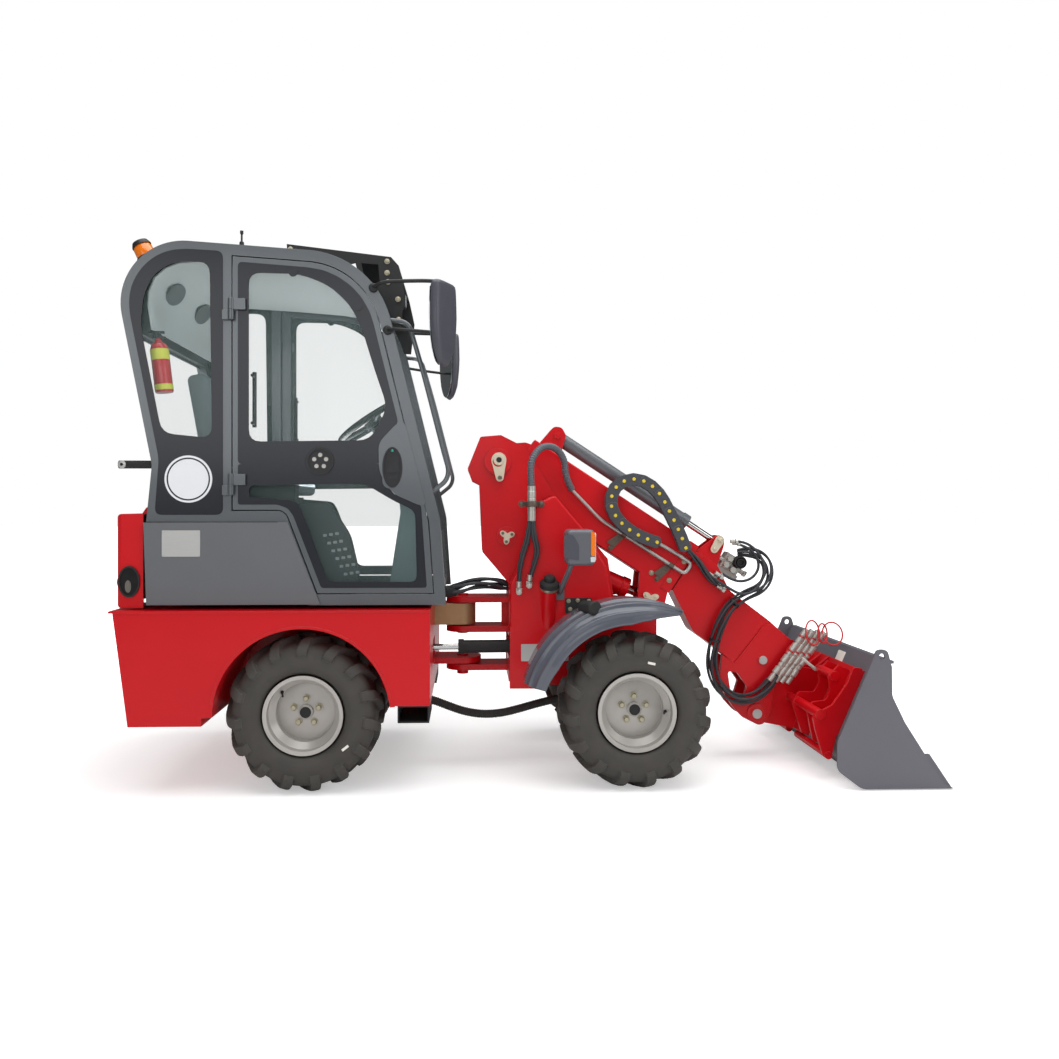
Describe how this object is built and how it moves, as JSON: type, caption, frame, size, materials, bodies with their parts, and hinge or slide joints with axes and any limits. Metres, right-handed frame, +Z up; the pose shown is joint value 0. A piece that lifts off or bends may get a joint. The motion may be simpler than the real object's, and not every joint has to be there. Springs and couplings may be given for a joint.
{
  "type": "telescopic wheel loader",
  "caption": "Compact articulated wheel loader with a glazed cab, telescopic lifting boom, quick hitch and general-purpose bucket on four equal tyres.",
  "frame": {"origin": "on the floor, midway between the tail and the cutting edge, and midway between the two sides", "axes": "+X forwards, the way it drives to its bucket; +Y to the driver's left; +Z up"},
  "size_m": [3.5502, 1.2842, 2.3898],
  "materials": {
    "black_plastic": "grained",
    "black_steel": "satin",
    "bucket_paint": "satin",
    "chrome_rod": "polished",
    "engine_iron": "painted",
    "fender_plastic": "ribbed",
    "floor_rubber": "matte",
    "glass": "clear, faint green",
    "grey_paint": "satin metallic",
    "hose_rubber": "braided",
    "orange_lens": "translucent",
    "red_lens": "ribbed lens",
    "red_paint": "gloss",
    "rim_paint": "silver",
    "seat_steel": "satin",
    "seat_vinyl": "grained vinyl",
    "step_metal": "satin",
    "tyre_rubber": "matte",
    "zinc": "zinc plated"
  },
  "bodies": {
    "rear_body": {"rear_frame": "red_paint", "rear_fenders": "red_paint", "rear_axle": "black_steel", "engine_block": "engine_iron", "steps": "step_metal", "side_covers": "grey_paint", "plate_lamps": "black_plastic", "cab_frame": "grey_paint", "cab_panels": "grey_paint", "cab_glass": "glass", "cab_floor": "floor_rubber", "seat_base": "seat_steel", "seat_cushions": "seat_vinyl", "consoles": "black_plastic", "steering_wheel": "black_plastic", "light_bracket": "black_steel", "work_lamps": "black_plastic", "beacon": "orange_lens", "mirrors": "black_plastic", "grab_rails": "black_steel", "hitch_hose": "hose_rubber", "cab_hoses": "hose_rubber"},
    "hood_body": {"hood": "red_paint", "tail_lamps": "red_lens"},
    "door_right": {"door_frame_right": "grey_paint", "door_glass_right": "glass"},
    "door_left": {"door_frame_left": "grey_paint", "door_glass_left": "glass"},
    "rear_wheel_right": {"rim_rear_right": "rim_paint", "tyre_rear_right": "tyre_rubber"},
    "rear_wheel_left": {"rim_rear_left": "rim_paint", "tyre_rear_left": "tyre_rubber"},
    "front_wheel_right": {"rim_front_right": "rim_paint", "tyre_front_right": "tyre_rubber"},
    "front_wheel_left": {"rim_front_left": "rim_paint", "tyre_front_left": "tyre_rubber"},
    "front_body": {"front_frame": "red_paint", "front_axle": "black_steel", "side_tanks": "red_paint", "filler_cap": "black_plastic", "front_fenders": "fender_plastic", "headlamps": "black_plastic", "tower_hoses": "hose_rubber"},
    "boom_body": {"outer_boom": "red_paint", "extend_barrel": "grey_paint", "boom_pipe": "zinc", "energy_chain": "black_plastic"},
    "boom_inner_body": {"inner_boom": "red_paint", "extend_rod": "chrome_rod", "valve_block": "black_steel", "neck_hoses": "hose_rubber"},
    "tool_body": {"quick_hitch": "red_paint", "bucket": "bucket_paint", "couplers": "zinc"},
    "lift_barrel_body": {"lift_barrel": "red_paint"},
    "lift_rod_body": {"lift_rod": "chrome_rod"},
    "tilt_barrel_body": {"tilt_barrel": "red_paint"},
    "tilt_rod_body": {"tilt_rod": "chrome_rod"},
    "steer_barrel_body": {"steer_barrel": "red_paint"},
    "steer_rod_body": {"steer_rod": "chrome_rod"}
  },
  "joints": [
    {"name": "steering", "type": "hinge", "parent": "rear_body", "child": "front_body", "pos_m": [-0.32006, 0, 0.55], "axis": [0, 0, 1], "range_deg": [-40, 40], "deforming": ["hitch_hose", "cab_hoses"]},
    {"name": "rear_wheel_right_spin", "type": "hinge", "parent": "rear_body", "child": "rear_wheel_right", "pos_m": [-0.98506, -0.4, 0.33], "axis": [0, 1, 0], "continuous": true},
    {"name": "rear_wheel_left_spin", "type": "hinge", "parent": "rear_body", "child": "rear_wheel_left", "pos_m": [-0.98506, 0.4, 0.33], "axis": [0, 1, 0], "continuous": true},
    {"name": "front_wheel_right_spin", "type": "hinge", "parent": "front_body", "child": "front_wheel_right", "pos_m": [0.42494, -0.4, 0.33], "axis": [0, 1, 0], "continuous": true},
    {"name": "front_wheel_left_spin", "type": "hinge", "parent": "front_body", "child": "front_wheel_left", "pos_m": [0.42494, 0.4, 0.33], "axis": [0, 1, 0], "continuous": true},
    {"name": "door_right_hinge", "type": "hinge", "parent": "rear_body", "child": "door_right", "pos_m": [-1.28506, -0.506, 1.6], "axis": [0, 0, -1], "range_deg": [0, 100]},
    {"name": "door_left_hinge", "type": "hinge", "parent": "rear_body", "child": "door_left", "pos_m": [-1.28506, 0.506, 1.6], "axis": [0, 0, 1], "range_deg": [0, 100]},
    {"name": "hood_hinge", "type": "hinge", "parent": "rear_body", "child": "hood_body", "pos_m": [-1.65906, 0, 1.192], "axis": [0, 1, 0], "range_deg": [0, 75]},
    {"name": "boom_lift", "type": "hinge", "parent": "front_body", "child": "boom_body", "pos_m": [-0.15406, 0, 1.417], "axis": [0, -1, 0], "range_deg": [0, 65], "deforming": ["tower_hoses"]},
    {"name": "boom_extend", "type": "slide", "parent": "boom_body", "child": "boom_inner_body", "axis": [0.8368, 0, -0.5476], "range_m": [0, 0.5], "deforming": ["energy_chain"]},
    {"name": "tool_tilt", "type": "hinge", "parent": "boom_inner_body", "child": "tool_body", "pos_m": [1.07906, 0, 0.22048], "axis": [0, -1, 0], "range_deg": [-72, 25], "deforming": ["neck_hoses"]},
    {"name": "lift_barrel_pivot", "type": "hinge", "parent": "front_body", "child": "lift_barrel_body", "pos_m": [-0.11306, 0, 1.068], "axis": [0, -1, 0], "range_deg": [-0.01, 64.3]},
    {"name": "lift_rod_slide", "type": "slide", "parent": "lift_barrel_body", "child": "lift_rod_body", "axis": [0.9158, 0, -0.4016], "range_m": [-0.0001, 0.37758]},
    {"name": "tilt_barrel_pivot", "type": "hinge", "parent": "boom_inner_body", "child": "tilt_barrel_body", "pos_m": [0.75731, 0, 0.83735], "axis": [0, -1, 0], "range_deg": [-0.94, 0.33]},
    {"name": "tilt_rod_slide", "type": "slide", "parent": "tilt_barrel_body", "child": "tilt_rod_body", "axis": [0.6974, 0, -0.7166], "range_m": [-0.08882, 0.25561]},
    {"name": "steer_barrel_pivot", "type": "hinge", "parent": "front_body", "child": "steer_barrel_body", "pos_m": [0.00994, -0.11, 0.552], "axis": [0, 0, 1], "range_deg": [-17.83, 17.83]},
    {"name": "steer_rod_slide", "type": "slide", "parent": "steer_barrel_body", "child": "steer_rod_body", "axis": [-0.9994, -0.0339, 0], "range_m": [-0.08355, 0.08355]}
  ],
  "couplings": [
    {"joint": "lift_barrel_pivot", "follows": "boom_lift", "ratio": 0.98903},
    {"joint": "lift_rod_slide", "follows": "boom_lift", "m_per_rad": 0.3327},
    {"joint": "tilt_barrel_pivot", "follows": "tool_tilt", "ratio": 0.013038},
    {"joint": "tilt_rod_slide", "follows": "tool_tilt", "m_per_rad": -0.20331},
    {"joint": "steer_barrel_pivot", "follows": "steering", "ratio": -0.4455},
    {"joint": "steer_rod_slide", "follows": "steering", "m_per_rad": 0.11952}
  ]
}
